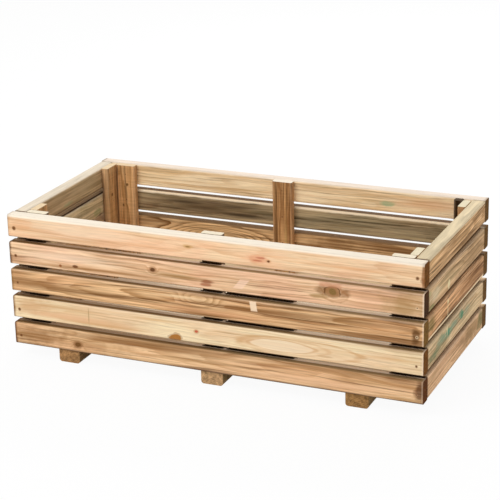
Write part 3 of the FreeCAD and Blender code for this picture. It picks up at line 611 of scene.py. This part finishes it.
# Early wood, late wood and sawn top, for the battens of a wall or for one batten
# Pale sawn tops are painted light, for the light that falls on them
BATTEN_WOOD = {
    # The front battens and the backing board are painted dark, as shade in the gaps in front of them
    "front": ("#7A5A38", "#50361C", "#E2D6BE"),
    "back": ("#D0A06C", "#8E6036", "#E6DAC8"),
    "right": ("#B98C58", "#8F6236", "#DCD0B2"),
    "left": ("#DCB07C", "#A07444", "#DCC4A0"),
    "back_wall_right_batten": ("#46321E", "#281A0E", "#46341E"),
    "back_wall_left_batten": ("#E0B07A", "#A87844", "#D8BE9A"),
}
BATTEN_MARKS = {
    "back_wall_middle_batten": ((0, -15, 300, 14, "#5A381A", 0.7), (-20, 9, 260, 10, "#C09C62", 0.6),
                                (60, 17, 140, 7, "#6A4624", 0.6)),
    "back_wall_left_batten": ((90, 4, 9, 7, "#5A3A1C", 0.8), (40, -8, 8, 6, "#5A3A1C", 0.7),
                              (20, 16, 240, 8, "#ECC496", 0.5), (-40, 6, 120, 14, "#8E5E34", 0.5)),
    "left_wall_back_batten": ((60, 10, 180, 10, "#7A5028", 0.5), (70, -6, 8, 7, "#54361A", 0.7)),
}
for seed, node in enumerate(sorted(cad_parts), start=60):
    if not node.endswith("_batten") and node != "front_backing_board":
        continue
    wall = node.split("_")[0]
    early, late, end = BATTEN_WOOD.get(node, BATTEN_WOOD[wall])
    axes = "ZXY" if wall in ("front", "back") else "ZYX"
    dress(node, pine("sawn pine, " + node, node, axes, seed, early=early, late=late,
                     pith=(seed % 7 - 3, 30), depth=0.7, streak=late, streaks=0.5, line="#4A3018",
                     lines=0.6, contrast=0.28, tint=early, end=end, mottled=0.06, soil=(0.3, 0.0),
                     edges=(0.1, 0.1), sawn=0.1, marks=BATTEN_MARKS.get(node, ())))

# Nails
# Round steel wire nails driven level with the wood, through the long boards into the ends of the short
# ones, and through battens, floor and bearers into what lies behind them.

# Rusted wire gives the eye dull brown dots. Real rust is finer than these spots, in millimetres, which
# are drawn that wide so that they show.
RUST_SPOT = 1.111
rust = bpy.data.materials.new("rusted wire nail steel")
rust.use_nodes = True
tree = rust.node_tree
tree.nodes.clear()
place = add(tree, "TexCoord", {})
spots = add(tree, "TexNoise", {"Vector": place.outputs["Object"], "Scale": MILLIMETRES / RUST_SPOT,
                               "Detail": 3.0})
wire = add(tree, "Mix", {0: spots, 6: linear("#4E2E18"), 7: linear("#8A5A34")}, data_type="RGBA")
shader = add(tree, "BsdfPrincipled", {"Base Color": wire, "Metallic": 0.3, "Roughness": 0.7})
add(tree, "OutputMaterial", {"Surface": shader})
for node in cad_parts:
    if node.endswith("_nails"):
        dress(node, rust)

# Floor, light and camera
# A pale studio floor under a white sky. One soft lamp at the front left lights the front wall, and one
# behind lights the rim and the gaps. The camera is at the front right, well above the rim.

FLOOR_SIZE = 40
FLOOR_GLOW = 0.94
SKY_LIGHT = 0.62
SKY_SEEN = 1.0
WHITE = linear("#FFFFFF")


def looking(tree):
    """One for rays that look at the paper, from the camera or by a gloss or glass, and none for light."""
    ray = add(tree, "LightPath", {})
    gloss = add(tree, "Math", {0: ray.outputs["Is Glossy Ray"], 1: ray.outputs["Is Transmission Ray"]},
                operation="MAXIMUM")
    return add(tree, "Math", {0: ray.outputs["Is Camera Ray"], 1: gloss}, operation="MAXIMUM")


bpy.ops.object.select_all(action="DESELECT")
bpy.ops.mesh.primitive_plane_add(size=FLOOR_SIZE)
ground = bpy.context.object
ground.name = "studio_floor"

# Matt white paper, which the eye sees nearly as white as the sky, with a faint shadow on it
paper = bpy.data.materials.new("white studio paper")
paper.use_nodes = True
tree = paper.node_tree
tree.nodes.clear()
share = add(tree, "Math", {0: looking(tree), 1: FLOOR_GLOW}, operation="MULTIPLY")
matt = add(tree, "BsdfDiffuse", {"Color": linear("#EEEEEE")})
white = add(tree, "Emission", {"Color": WHITE, "Strength": 1.0})
add(tree, "OutputMaterial", {"Surface": add(tree, "MixShader", {0: share, 1: matt, 2: white})})
ground.data.materials.append(paper)

world = bpy.data.worlds.new("studio")
bpy.context.scene.world = world
world.use_nodes = True
tree = world.node_tree
tree.nodes.clear()
strength = add(tree, "MapRange", {0: looking(tree), 1: 0.0, 2: 1.0, 3: SKY_LIGHT, 4: SKY_SEEN})
add(tree, "OutputWorld", {"Surface": add(tree, "Background", {"Color": WHITE, "Strength": strength})})

LIT_POINT = Vector((0.0, 0.0, 0.16))
for name, spot, size, power in (
    ("key", Vector((-1.4, -2.6, 3.2)), 2.4, 88.0),
    ("back", Vector((-0.2, 3.0, 2.3)), 1.8, 68.0),
):
    lamp = bpy.data.lights.new(name, "AREA")
    lamp.size = size
    lamp.energy = power
    light = bpy.data.objects.new(name, lamp)
    bpy.context.collection.objects.link(light)
    light.location = spot
    light.rotation_euler = (LIT_POINT - spot).to_track_quat("-Z", "Y").to_euler()

HEADING = 0.41247
TILT = 0.33784
ROLL = -0.02231
VIEWPOINT = (1.31888, -3.01649, 1.374)
LENS = 119.872
SENSOR = 36.0
camera = bpy.data.objects.new("camera", bpy.data.cameras.new("camera"))
bpy.context.collection.objects.link(camera)
camera.location = VIEWPOINT
camera.rotation_mode = "QUATERNION"
camera.rotation_quaternion = (Quaternion((0, 0, 1), HEADING)
                              @ Quaternion((1, 0, 0), math.pi / 2 - TILT)
                              @ Quaternion((0, 0, 1), ROLL))
camera.data.sensor_width = SENSOR
camera.data.lens = LENS
bpy.context.scene.camera = camera
bpy.context.scene.view_settings.view_transform = "Standard"
